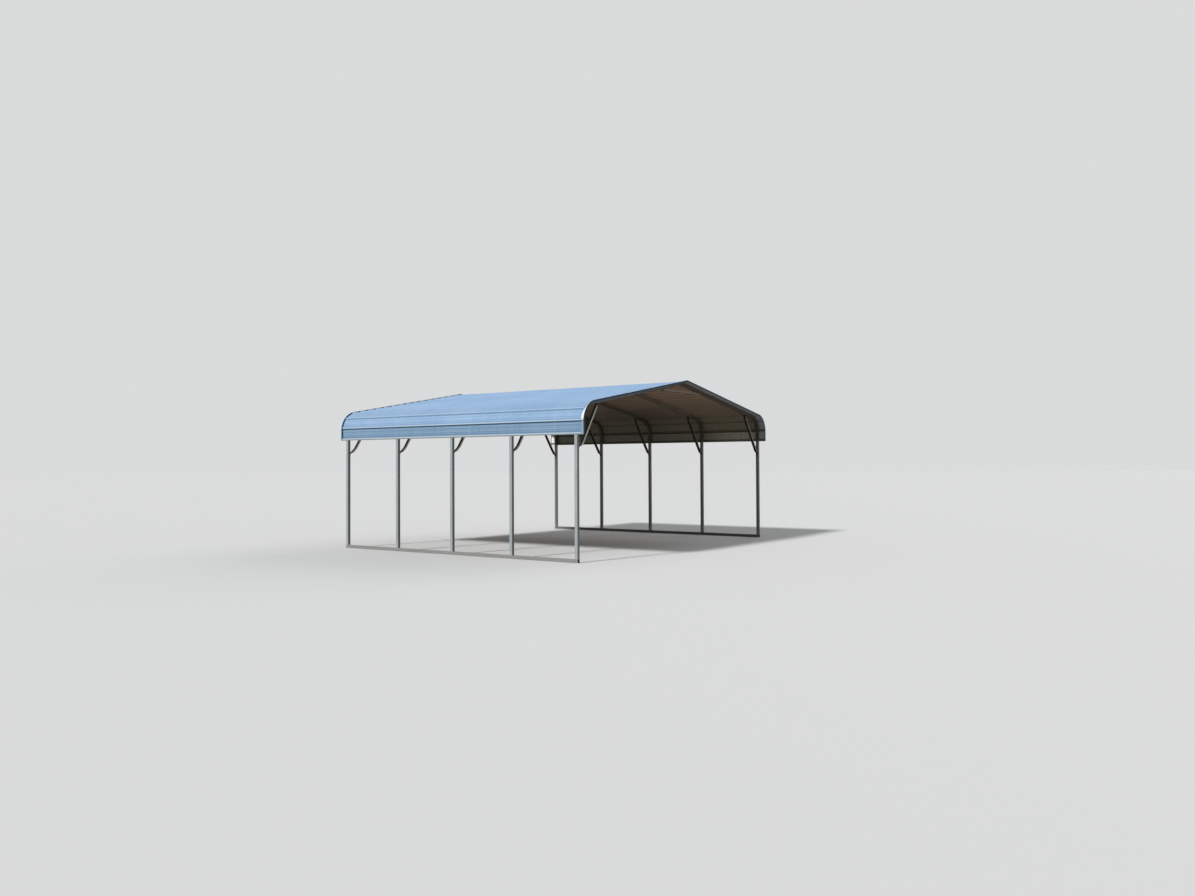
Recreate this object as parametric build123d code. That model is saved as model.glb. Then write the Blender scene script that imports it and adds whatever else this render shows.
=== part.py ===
"""An open carport of bent square steel tube with a ribbed steel roof that wraps down over both eaves.

X runs across the carport, Y along it and Z up. The origin is on the ground under the middle of the ridge.
The right side is +X and the front is -Y. Lengths are in millimetres.
"""

import os
from math import atan2, cos, radians, sin, tan

from build123d import *

# Frame
frame_width = 7315.2
frame_length = 6096.0
bay_count = 4
tube_side = 63.5
tube_wall = 1.9
tube_corner = 2.5
spigot_wall = 2.7
spigot_depth = 150.0
spigot_collar = 60.0
post_length = 2133.6
bow_leg = 298.0
bow_bend_radius = 355.6
roof_pitch = 9.8

# Roof sheets
roof_length = 6400.8
sheet_thickness = 1.0
eave_drop = 218.6
ribs_per_sheet = 4
slope_sheets_per_side = 3
rib_height = 19.0
rib_base = 64.0
rib_top = 20.0
swage_height = 4.0
swage_base = 26.0
swage_top = 12.0
swage_spread = 76.2
lap_return = 5.0

# Gable trim
trim_thickness = 1.0
trim_top_leg = 50.8
trim_face_leg = 38.1

# Braces
brace_web = 57.0
brace_flange = 32.0
brace_gauge = 1.9
brace_bend_radius = 22.0
brace_flange_inset = 34.0
brace_flange_taper = 58.0
knee_reach = 660.0
knee_elbow_out = 154.0
knee_foot_tab = 96.0
knee_reach_front_left = 586.0
knee_elbow_out_front_left = 100.0
knee_foot_tab_front_left = 163.0
knee_foot_drop = 312.1
knee_head_tab = 110.0
knee_elbow_radius = 300.0
knee_heel_radius = 60.0
knee_sag_left = 71.0
knee_sag_right = 12.0
peak_brace_half = 750.0
peak_brace_tab = 110.0

# Clearances
seat_gap = 0.3
lap_gap = 0.2
spigot_gap = 0.8

# Values worked out from the sizes above
pitch = radians(roof_pitch)
bend_turn = radians(90.0) - pitch
post_x = (frame_width - tube_side) / 2
post_top = tube_side + post_length
bend_z = post_top + bow_leg
bend_x = post_x - bow_bend_radius
post_inner_x = post_x - tube_side / 2
tube_bore = tube_side - 2 * tube_wall
bow_spacing = (frame_length - tube_side) / bay_count
bow_places = [(number - bay_count / 2) * bow_spacing for number in range(bay_count + 1)]
rib_flank = atan2(rib_height, (rib_base - rib_top) / 2)
swage_flank = atan2(swage_height, (swage_base - swage_top) / 2)
skin_radius = bow_bend_radius + tube_side / 2 + seat_gap
slope_girth = (bend_x + skin_radius * sin(pitch)) / cos(pitch)
curve_girth = skin_radius * bend_turn
girth = slope_girth + curve_girth + eave_drop
girth_ribs = ribs_per_sheet // 2 + ribs_per_sheet * (slope_sheets_per_side + 1)
rib_spacing = (girth - rib_base / 2) / girth_ribs
lap_lift = sheet_thickness + lap_gap
rib_crown = rib_height + lap_lift + sheet_thickness
trim_lift = rib_crown + seat_gap


def at(x, z):
    """A point of the cross-section, which lies in the XZ plane."""
    return Vector(x, 0, z)


def flipped(shape):
    """The same piece on the other side of the ridge."""
    return mirror(shape, about=Plane.YZ)


def roof_point(distance, height):
    """The point of the right half of the roof at a girth distance from the ridge and a height above the bows."""
    if distance <= slope_girth:
        run = slope_girth - distance
        x = bend_x + (skin_radius + height) * sin(pitch) - run * cos(pitch)
        z = bend_z + (skin_radius + height) * cos(pitch) + run * sin(pitch)
        return at(x, z)
    if distance <= slope_girth + curve_girth:
        turn = pitch + (distance - slope_girth) / skin_radius
        reach = skin_radius + height
        return at(bend_x + reach * sin(turn), bend_z + reach * cos(turn))
    return at(bend_x + skin_radius + height, bend_z - (distance - slope_girth - curve_girth))


def ridge_point(height):
    """The point above the ridge where both slopes meet at that height over the bows."""
    foot = roof_point(0.0, height)
    return at(0.0, foot.Z + foot.X * tan(pitch))


def skin_edges(stations):
    """Edges through (distance, height) stations of the right half, as arcs where the roof wraps over the eave."""
    edges = []
    curve_start = slope_girth
    curve_end = slope_girth + curve_girth
    for (near, low), (far, high) in zip(stations, stations[1:]):
        stops = [near, far]
        if low == high:
            stops[1:1] = [mark for mark in (curve_start, curve_end) if near < mark < far]
        for first, last in zip(stops, stops[1:]):
            middle = (first + last) / 2
            start = roof_point(first, low)
            end = roof_point(last, high)
            if low == high and curve_start < middle < curve_end:
                edges.append(ThreePointArc(start, roof_point(middle, low), end))
            else:
                edges.append(Line(start, end))
    return edges


def rib_stations(centre, level, height, base, top, flank):
    """The four stations of a rib whose skin lies a level above the sheet's underside."""
    growth = level * tan(flank / 2)
    return [
        (centre - base / 2 - growth, level),
        (centre - top / 2 - growth, height + level),
        (centre + top / 2 + growth, height + level),
        (centre + base / 2 + growth, level),
    ]


def swage_stations(centre, level):
    """The two small stiffening ribs in the flat that follows the rib at this centre."""
    stations = []
    for side in (-1, 1):
        place = centre + rib_spacing / 2 + side * swage_spread / 2
        stations += rib_stations(place, level, swage_height, swage_base, swage_top, swage_flank)
    return stations


def upper_lap_stations(centre, level):
    """The rib at a sheet's upper edge, which the next sheet covers: its upper flank stops short of the flat."""
    ribs = rib_stations(centre, level, rib_height, rib_base, rib_top, rib_flank)
    cut = centre - rib_base / 2 - level * tan(rib_flank / 2) + (lap_return - level) / tan(rib_flank)
    return [(cut, lap_return)] + ribs[1:]


def lower_lap_stations(centre, level):
    """The rib at a sheet's lower edge, which lies over the upper rib of the sheet below."""
    lift = lap_lift + level
    ribs = rib_stations(centre, lift, rib_height, rib_base, rib_top, rib_flank)
    spread = lap_lift / tan(rib_flank)
    return [(ribs[0][0] - spread, level)] + ribs[1:3] + [end_station(centre, level)]


def end_station(centre, level):
    """Where the lower lap's outer flank ends, square to the flank, just above the flat of the sheet below."""
    inner = lap_lift
    start = centre + rib_base / 2 + inner * tan(rib_flank / 2)
    return (start + level * sin(rib_flank), inner + level * cos(rib_flank))


def ribbed_solid(lower, upper, first_joins):
    """A sheet of the roof's length between its two skins, closed by the joins at its upper edge."""
    edges = skin_edges(lower) + skin_edges(upper) + first_joins
    edges.append(Line(roof_point(*lower[-1]), roof_point(*upper[-1])))
    return extrude(Face(Wire(edges)), amount=roof_length / 2, dir=(0, 1, 0), both=True)


def roof_sheet(upper_rib, lower_rib, is_eave):
    """A ribbed sheet of the right side, between two of the rib numbers counted from the ridge."""
    skins = []
    for level in (0.0, sheet_thickness):
        stations = upper_lap_stations(upper_rib * rib_spacing, level)
        for number in range(upper_rib, lower_rib):
            stations += swage_stations(number * rib_spacing, level)
            centre = (number + 1) * rib_spacing
            if number + 1 < lower_rib:
                stations += rib_stations(centre, level, rib_height, rib_base, rib_top, rib_flank)
        end = lower_rib * rib_spacing
        if is_eave:
            stations += rib_stations(end, level, rib_height, rib_base, rib_top, rib_flank)[:3]
            stations.append((girth + level * sin(rib_flank), level * cos(rib_flank)))
        else:
            stations += lower_lap_stations(end, level)
        skins.append(stations)
    lower, upper = skins
    return ribbed_solid(lower, upper, [Line(roof_point(*lower[0]), roof_point(*upper[0]))])


def ridge_sheet():
    """The sheet bent over the ridge, which laps over the highest slope sheet on both sides."""
    skins = []
    for level in (0.0, sheet_thickness):
        stations = rib_stations(rib_spacing, level, rib_height, rib_base, rib_top, rib_flank)
        stations += swage_stations(rib_spacing, level)
        stations += lower_lap_stations(ribs_per_sheet // 2 * rib_spacing, level)
        skins.append(stations)
    lower, upper = skins
    joins = [
        Line(ridge_point(0.0), roof_point(*lower[0])),
        Line(ridge_point(sheet_thickness), roof_point(*upper[0])),
        Line(ridge_point(0.0), ridge_point(sheet_thickness)),
    ]
    half = ribbed_solid(lower, upper, joins)
    return half + flipped(half)


def roof_band(bottom, top):
    """The face between two heights over the bows, from the ridge to the eave, on the right side."""
    low = skin_edges([(0.0, bottom), (girth, bottom)])
    high = skin_edges([(0.0, top), (girth, top)])
    joins = [
        Line(roof_point(0.0, bottom), roof_point(0.0, top)),
        Line(roof_point(girth, bottom), roof_point(girth, top)),
    ]
    return Face(Wire(low + high + joins))


def gable_trim():
    """The right half of the front gable's trim: an angle whose top leg lies on the ribs."""
    crown = trim_lift + trim_thickness
    sheet_end = -roof_length / 2
    face_back = sheet_end - seat_gap
    face_front = face_back - trim_thickness
    top_leg = extrude(roof_band(trim_lift, crown), amount=trim_top_leg, dir=(0, 1, 0))
    face_leg = extrude(roof_band(crown - trim_face_leg, crown), amount=trim_thickness, dir=(0, 1, 0))
    angle = Pos(0, face_front, 0) * (top_leg + face_leg)
    far_side = Box(frame_width, roof_length * 2, frame_width)
    return angle - Pos(-frame_width / 2, 0, frame_width / 2) * far_side


def tube_section():
    """The hollow section of the frame tube, in the XY plane."""
    outer = Rectangle(tube_side, tube_side)
    outer = chamfer(outer.vertices(), tube_corner)
    return outer - Rectangle(tube_bore, tube_bore)


def spigot(length, side):
    """A short square tube of one side that stands on the XY plane and fits into the bore of the frame tube."""
    inside = tube_bore - 2 * (spigot_gap + spigot_wall)
    return extrude(Rectangle(side, side) - Rectangle(inside, inside), amount=length)


def base_rail():
    """A tube on the ground along one side, with a spigot welded on it for each post."""
    section = Plane.XZ * tube_section()
    rail = extrude(section, amount=frame_length / 2, dir=(0, 1, 0), both=True)
    rail = Pos(0, 0, tube_side / 2) * rail
    stub = Pos(0, 0, tube_side) * spigot(spigot_depth, tube_bore - 2 * spigot_gap)
    for place in bow_places:
        rail += Pos(0, place, 0) * stub
    return rail


def post():
    """A tube that stands on the base rail, over its spigot."""
    return Pos(0, 0, tube_side) * extrude(tube_section(), amount=post_length)


def bow():
    """A roof bow in the XZ plane: two legs with spigots into the posts, two bends and two slopes to the ridge."""
    outward = at(sin(pitch), cos(pitch))
    start = at(post_x, post_top)
    bend_start = at(post_x, bend_z)
    bend_end = at(bend_x, bend_z) + outward * bow_bend_radius
    half_turn = pitch + bend_turn / 2
    bend_middle = at(bend_x + bow_bend_radius * sin(half_turn), bend_z + bow_bend_radius * cos(half_turn))
    past_ridge = bend_end + at(-cos(pitch), sin(pitch)) * (bend_end.X / cos(pitch) + tube_side)
    path = Wire(
        [Line(start, bend_start), ThreePointArc(bend_start, bend_middle, bend_end), Line(bend_end, past_ridge)]
    )
    half = sweep(Pos(post_x, 0, post_top) * tube_section(), path=path)
    half -= Pos(-frame_width / 2, 0, frame_width / 2) * Box(frame_width, frame_width, frame_width)
    half += Pos(post_x, 0, post_top) * spigot(spigot_collar, tube_bore)
    half += Pos(post_x, 0, post_top - spigot_depth) * spigot(spigot_depth, tube_bore - 2 * spigot_gap)
    return half + flipped(half)


def under_bow(x):
    """The height of the bow's underside over a place on the right slope."""
    ridge = bend_z + (bow_bend_radius - tube_side / 2) / cos(pitch) + bend_x * tan(pitch)
    return ridge - x * tan(pitch)


def left_of(way):
    """The direction square to a way in the XZ plane, on its left seen from the front."""
    return Vector(-way.Z, 0, way.X)


def taper_cut(corner, way, across):
    """The face that a flange loses towards a flattened end: all that lies before the slant of its taper."""
    slant = way * brace_flange_taper + across * brace_flange
    toe = corner + way * brace_flange_inset
    back = way * (brace_flange_inset + 2 * brace_flange_taper)
    corners = [toe - slant, toe + slant * 2, toe + slant * 2 - back, toe - slant - back]
    return Face(Wire(Polyline(*corners, close=True).edges()))


def channel_brace(points, radii, run_start, run_end):
    """A pressed channel brace in the XZ plane: its web is a bent strip along the points, flattened at both ends.

    The strip lies to the left of the way from the first point to the last. The flanges stand on that side,
    follow the bends between the two numbered points, and taper off towards both flattened ends.
    """
    spine = FilletPolyline(*points, radius=radii)
    first_way = (points[1] - points[0]).normalized()
    edge = Line(points[0], points[0] + left_of(first_way) * brace_gauge)
    web = extrude(sweep(edge, path=spine), amount=brace_web / 2, dir=(0, 1, 0), both=True)
    run = points[run_start:run_end + 1]
    bends = radii[run_start:run_end - 1]
    path = FilletPolyline(*run, radius=bends) if bends else Line(*run)
    start_way = (run[1] - run[0]).normalized()
    end_way = (run[-1] - run[-2]).normalized()
    side = sweep(Line(run[0], run[0] + left_of(start_way) * brace_flange), path=path)
    side -= taper_cut(run[0], start_way, left_of(start_way))
    side -= taper_cut(run[-1], end_way * -1, left_of(end_way))
    flange = extrude(side, amount=brace_gauge, dir=(0, 1, 0))
    edge = brace_web / 2
    return web + Pos(0, -edge, 0) * flange + Pos(0, edge - brace_gauge, 0) * flange


def knee_brace(sag, reach, elbow_out, foot_tab):
    """A brace of the right side, from the post's inner face to the bow, its elbow sagging off the straight line."""
    down_slope = at(cos(pitch), -sin(pitch))
    head_x = post_inner_x - reach
    head = at(head_x, under_bow(head_x) - seat_gap)
    tab_end = head - down_slope * knee_head_tab
    face_x = post_inner_x - seat_gap
    foot = at(face_x, post_top - knee_foot_drop)
    heel = at(face_x, foot.Z + foot_tab)
    along = elbow_out / (face_x - head.X)
    elbow = at(face_x - elbow_out, heel.Z + along * (head.Z - heel.Z) - sag)
    radii = [knee_heel_radius, knee_elbow_radius, brace_bend_radius]
    return channel_brace([foot, heel, elbow, head, tab_end], radii, 1, 3)


def peak_brace():
    """A level brace between the bow's two slopes under the ridge."""
    level = under_bow(peak_brace_half) - seat_gap
    right = at(peak_brace_half, level)
    right_end = right + at(cos(pitch), -sin(pitch)) * peak_brace_tab
    left = at(-peak_brace_half, level)
    left_end = left + at(-cos(pitch), -sin(pitch)) * peak_brace_tab
    return channel_brace([right_end, right, left, left_end], [brace_bend_radius] * 2, 1, 2)


def write(shape, node):
    """Writes one piece to its own file."""
    export_step(shape, f"parts/{node}.step")


def main():
    """Builds every piece and writes it."""
    os.makedirs("parts", exist_ok=True)
    rail = base_rail()
    stand = post()
    arch = bow()
    knees = {
        "left": flipped(knee_brace(knee_sag_left, knee_reach, knee_elbow_out, knee_foot_tab)),
        "right": knee_brace(knee_sag_right, knee_reach, knee_elbow_out, knee_foot_tab),
    }
    front_left_knee = flipped(
        knee_brace(knee_sag_left, knee_reach_front_left, knee_elbow_out_front_left, knee_foot_tab_front_left)
    )
    tie = peak_brace()
    sides = (("left", -1), ("right", 1))
    for side, sign in sides:
        write(Pos(sign * post_x, 0, 0) * rail, f"base_rail_{side}")
        for number, place in enumerate(bow_places, start=1):
            write(Pos(sign * post_x, place, 0) * stand, f"post_{side}_{number}")
            knee = front_left_knee if (side, number) == ("left", 1) else knees[side]
            write(Pos(0, place, 0) * knee, f"knee_brace_{side}_{number}")
    for number, place in enumerate(bow_places, start=1):
        write(Pos(0, place, 0) * arch, f"bow_{number}")
        write(Pos(0, place, 0) * tie, f"peak_brace_{number}")
    write(ridge_sheet(), "ridge_sheet")
    first = ribs_per_sheet // 2
    for number in range(slope_sheets_per_side + 1):
        is_eave = number == slope_sheets_per_side
        sheet = roof_sheet(first, first + ribs_per_sheet, is_eave)
        first += ribs_per_sheet
        for side, sign in sides:
            node = f"eave_sheet_{side}" if is_eave else f"slope_sheet_{side}_{number + 1}"
            write(sheet if sign > 0 else flipped(sheet), node)
    trim = gable_trim()
    for end, about in (("front", None), ("back", Plane.XZ)):
        piece = mirror(trim, about=about) if about else trim
        for side, sign in sides:
            write(piece if sign > 0 else flipped(piece), f"gable_trim_{end}_{side}")


main()
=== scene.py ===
"""Dresses the carport: finishes for its tubes, braces, roof sheets and trim, and its screws and ridge welds.

Lengths are in metres. X runs across the carport, Y along it and Z up, with the origin on the ground under
the ridge.
"""

import logging
from collections.abc import Callable, Iterator, Sequence
from dataclasses import dataclass
from enum import Enum
from math import cos, pi, radians, sin, tan
from typing import Self

import bpy
from mathutils import Matrix, Vector


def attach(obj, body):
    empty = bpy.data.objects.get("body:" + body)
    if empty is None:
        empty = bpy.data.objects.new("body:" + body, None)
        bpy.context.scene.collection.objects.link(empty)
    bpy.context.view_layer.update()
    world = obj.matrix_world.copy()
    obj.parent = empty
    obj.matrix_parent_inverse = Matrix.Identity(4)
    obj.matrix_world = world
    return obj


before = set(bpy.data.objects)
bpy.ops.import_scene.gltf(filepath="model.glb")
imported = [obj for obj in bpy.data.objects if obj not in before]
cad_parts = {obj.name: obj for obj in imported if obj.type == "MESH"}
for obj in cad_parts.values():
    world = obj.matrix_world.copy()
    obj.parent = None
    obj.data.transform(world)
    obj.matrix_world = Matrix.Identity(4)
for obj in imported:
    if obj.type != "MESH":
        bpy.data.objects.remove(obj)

log = logging.getLogger("carport")

Colour = tuple[float, float, float]
# Two values of one measure, and for a mark in a finish where it sets in and where it is full
Span = tuple[float, float]
Value = "Reading | float | Sequence[float]"

DUST: Colour = (0.46, 0.43, 0.38)
# A dark blue painted as shade by the ribs, beside the trim and in the trim's crease, with a little grime
SHADE_AND_GRIME: Colour = (0.02, 0.07, 0.135)


def maths(operation: str, swapped: bool = False) -> "Callable[[Reading, Value], Reading]":
    """Makes a reading's method for an operation.

    Args:
        operation: The Math node's operation.
        swapped: Whether the other value comes first.

    Returns:
        The method.
    """

    def method(self: "Reading", other: Value) -> "Reading":
        """This reading and another value, by the operation."""
        values = (other, self) if swapped else (self, other)
        return self.recipe.sum(operation, *values)

    return method


class Reading:
    """A number, colour or vector in a finish, which takes part in sums."""

    __add__ = maths("ADD")
    __radd__ = maths("ADD", swapped=True)
    __sub__ = maths("SUBTRACT")
    __rsub__ = maths("SUBTRACT", swapped=True)
    __mul__ = maths("MULTIPLY")
    __rmul__ = maths("MULTIPLY", swapped=True)
    __truediv__ = maths("DIVIDE")

    def __init__(self, recipe: "Recipe", socket: bpy.types.NodeSocket) -> None:
        """Wraps the output socket of one of a recipe's nodes."""
        self.recipe = recipe
        self.socket = socket

    def __neg__(self) -> "Reading":
        """This with its sign changed."""
        return self.recipe.sum("MULTIPLY", self, -1.0)

    def __abs__(self) -> "Reading":
        """The size of this, without its sign."""
        return self.recipe.sum("ABSOLUTE", self)


class Recipe:
    """The node tree of one finish."""

    def __init__(self, owner: bpy.types.Material | bpy.types.World) -> None:
        """Starts an empty tree.

        Args:
            owner: The material or world that the tree belongs to.
        """
        owner.use_nodes = True
        self.owner = owner
        self.tree = owner.node_tree
        self.tree.nodes.clear()

    @classmethod
    def named(cls, name: str) -> Self:
        """The recipe of a new material of that name."""
        return cls(bpy.data.materials.new(name))

    def node(
        self, kind: str, settings: dict | None = None, values: dict | None = None, out: str | int = 0
    ) -> Reading | None:
        """Adds a node.

        Args:
            kind: The node's type.
            settings: Its properties.
            values: What each input socket holds or is linked to, by name or number.
            out: The output wanted, by name or number.

        Returns:
            The output as a reading, or None from a node that has no outputs.
        """
        made = self.tree.nodes.new(kind)
        for name, setting in (settings or {}).items():
            setattr(made, name, setting)
        for name, value in (values or {}).items():
            socket = made.inputs[name]
            if isinstance(value, Reading):
                self.tree.links.new(value.socket, socket)
            elif socket.type == "RGBA" and len(value) == 3:
                socket.default_value = (*value, 1.0)
            else:
                socket.default_value = value
        return Reading(self, made.outputs[out]) if made.outputs else None

    def place(self) -> Reading:
        """Where a point is, in metres."""
        return self.node("ShaderNodeTexCoord", out="Object")

    def facing(self) -> Reading:
        """Which way the surface faces."""
        return self.node("ShaderNodeNewGeometry", out="Normal")

    def split(self, vector: Reading) -> tuple[Reading, Reading, Reading]:
        """The three parts of a vector."""
        made = self.node("ShaderNodeSeparateXYZ", values={0: vector}).socket.node
        return tuple(Reading(self, made.outputs[axis]) for axis in range(3))

    def vector(self, x: Value, y: Value, z: Value) -> Reading:
        """A vector of three parts."""
        return self.node("ShaderNodeCombineXYZ", values={0: x, 1: y, 2: z})

    def noise(self, spot: Reading, scale: float, detail: float, roughness: float) -> Reading:
        """Soft noise from 0 to 1 with a number of waves to the metre."""
        values = {"Vector": spot, "Scale": scale, "Detail": detail, "Roughness": roughness}
        return self.node("ShaderNodeTexNoise", values=values)

    def cells(self, spot: Reading, scale: float) -> Reading:
        """A flat grey from 0 to 1 for each of many small crystals."""
        made = self.node("ShaderNodeTexVoronoi", values={"Vector": spot, "Scale": scale}, out="Color")
        return self.split(made)[0]

    def sum(self, operation: str, value: Value, other: Value = 0.0) -> Reading:
        """An operation of the Math node on one or two values."""
        return self.node("ShaderNodeMath", {"operation": operation}, {0: value, 1: other})

    def least(self, value: Value, other: Value) -> Reading:
        """The smaller of two values."""
        return self.sum("MINIMUM", value, other)

    def most(self, value: Value, other: Value) -> Reading:
        """The larger of two values."""
        return self.sum("MAXIMUM", value, other)

    def rise(self, value: Reading, low: float, high: float) -> Reading:
        """A soft step from 0 to 1 between two values, or from 1 to 0 where high is below low."""
        values = {"Value": value, "From Min": low, "From Max": high}
        return self.node("ShaderNodeMapRange", {"interpolation_type": "SMOOTHSTEP"}, values)

    def near(self, value: Reading, middle: float, core: float, edge: float) -> Reading:
        """A soft band round a middle: 1 nearer to it than the core, and 0 farther from it than the edge."""
        return self.rise(abs(value - middle), edge, core)

    def mix(self, first: Value, second: Value, share: Value) -> Reading:
        """A colour between two colours, by the second one's share."""
        return self.node("ShaderNodeMix", {"data_type": "RGBA"}, {0: share, 6: first, 7: second}, out=2)

    def tint(self, colour: Value, other: Value) -> Reading:
        """A colour multiplied by another."""
        settings = {"data_type": "RGBA", "blend_type": "MULTIPLY"}
        return self.node("ShaderNodeMix", settings, {0: 1.0, 6: colour, 7: other}, out=2)

    def grey(self, value: Reading) -> Reading:
        """A grey of that level."""
        return self.node("ShaderNodeCombineColor", values={0: value, 1: value, 2: value})

    def bump(self, height: Reading, depth: float, **below: Reading) -> Reading:
        """A normal that follows a height from 0 to 1 of a depth in metres, over a Normal below it."""
        values = {"Height": height, "Distance": depth, "Strength": 1.0, **below}
        return self.node("ShaderNodeBump", values=values)

    def finish(self, **sockets: Value) -> bpy.types.Material:
        """Closes the finish with one surface shader.

        Args:
            sockets: What each of the shader's sockets gets, with _ for a blank in its name.

        Returns:
            The material.
        """
        values = {name.replace("_", " "): value for name, value in sockets.items()}
        shader = self.node("ShaderNodeBsdfPrincipled", values=values)
        self.node("ShaderNodeOutputMaterial", values={"Surface": shader})
        return self.owner


@dataclass(frozen=True)
class RoofLine:
    """The cross-section that the bows and the roof share."""

    pitch: float = radians(9.8)
    bend_x: float = 3.27025
    bend_z: float = 2.4951
    bend_radius: float = 0.3556
    tube: float = 0.0635
    seat: float = 0.0003
    eave_drop: float = 0.2186
    rib_base: float = 0.064
    last_rib: int = 18
    first_lap: int = 2
    ribs_per_sheet: int = 4

    @property
    def skin(self) -> float:
        """The radius of the roof's underside over the eave."""
        return self.bend_radius + self.tube / 2 + self.seat

    @property
    def turn(self) -> float:
        """The angle of the bend over the eave."""
        return pi / 2 - self.pitch

    @property
    def slope(self) -> float:
        """The girth from the ridge to the bend."""
        return (self.bend_x + self.skin * sin(self.pitch)) / cos(self.pitch)

    @property
    def lip(self) -> float:
        """The girth from the ridge to the roof's lower edge."""
        return self.slope + self.skin * self.turn + self.eave_drop

    @property
    def rib_spacing(self) -> float:
        """The girth from one rib to the next."""
        return (self.lip - self.rib_base / 2) / self.last_rib

    @property
    def ridge(self) -> float:
        """The height of the bows' underside at the ridge."""
        over_bend = self.bend_z + (self.bend_radius - self.tube / 2) / cos(self.pitch)
        return over_bend + self.bend_x * tan(self.pitch)

    def under(self, x: float) -> float:
        """The height of the bows' underside over a distance from the middle."""
        return self.ridge - x * tan(self.pitch)

    def spot(self, side: int, along: float, girth: float, height: float) -> tuple[Vector, Vector]:
        """A place on the roof.

        Args:
            side: -1 on the left and 1 on the right.
            along: Its Y.
            girth: Its distance from the ridge, over the roof.
            height: Its height over the bows.

        Returns:
            The place and the way out of the roof there.
        """
        turned = min(max((girth - self.slope) / self.skin, 0.0), self.turn)
        angle = self.pitch + turned
        run = min(girth - self.slope, 0.0)
        drop = max(girth - self.slope - self.skin * self.turn, 0.0)
        reach = self.skin + height
        x = self.bend_x + reach * sin(angle) + run * cos(self.pitch)
        z = self.bend_z + reach * cos(angle) - run * sin(self.pitch) - drop
        return Vector((side * x, along, z)), Vector((side * sin(angle), 0.0, cos(angle)))

    def read(self, recipe: Recipe) -> tuple[Reading, Reading, Reading]:
        """The same measures inside a finish.

        Args:
            recipe: The finish.

        Returns:
            The girth, the height over the bows, and how far the surface faces out of the roof, from -1 to 1.
        """
        x, _, z = recipe.split(recipe.place())
        out = abs(x) - self.bend_x
        up = z - self.bend_z
        swing = recipe.sum("ARCTAN2", out, up)
        turned = recipe.least(recipe.most(swing - self.pitch, 0.0), self.turn)
        run = recipe.least(out * cos(self.pitch) - up * sin(self.pitch), 0.0)
        drop = recipe.most(-up, 0.0) * recipe.rise(out, -0.3, 0.0)
        girth = run + turned * self.skin + drop + self.slope
        angle = turned + self.pitch
        sine = recipe.sum("SINE", angle)
        cosine = recipe.sum("COSINE", angle)
        height = out * sine + up * cosine - self.skin
        face_x, _, face_z = recipe.split(recipe.facing())
        return girth, height, face_x * recipe.sum("SIGN", x) * sine + face_z * cosine

    def past_rib(self, recipe: Recipe, girth: Reading) -> Reading:
        """How far a girth lies past the nearest rib's middle inside a finish, below 0 on its ridge side."""
        pitches = girth / self.rib_spacing
        return (pitches - recipe.sum("ROUND", pitches)) * self.rib_spacing


class SheetRecipe(Recipe):
    """The node tree of the sheets' finish, with the readings that its parts share."""

    def __init__(self, owner: bpy.types.Material, line: RoofLine = RoofLine()) -> None:
        """Adds the readings. The runs lie along the slope, because rain draws dirt to the eaves.

        Args:
            owner: The material.
            line: The cross-section of the roof.
        """
        super().__init__(owner)
        self.line = line
        self.girth, _, self.facing = line.read(self)
        self.x, self.along, _ = self.split(self.place())
        self.past = line.past_rib(self, self.girth)
        self.clouds = self.noise(self.place(), 0.9, 4.0, 0.6)
        self.runs = self.noise(self.vector(self.girth * 0.35, self.along * 6.0, 0.0), 2.2, 5.0, 0.65)
        self.fine_runs = self.noise(self.vector(self.girth * 1.5, self.along * 40.0, 0.0), 1.0, 3.0, 0.6)
        self.rolled = self.noise(self.vector(self.girth * 90.0, self.along * 0.5, 0.0), 1.0, 2.0, 0.5)
        self.specks = self.noise(self.place(), 160.0, 2.0, 0.5)

    def from_rib(self, start: float, full: float) -> Reading:
        """A soft step down the roof, between two distances from the ridge counted in ribs."""
        return self.rise(self.girth, start * self.line.rib_spacing, full * self.line.rib_spacing)


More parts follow.
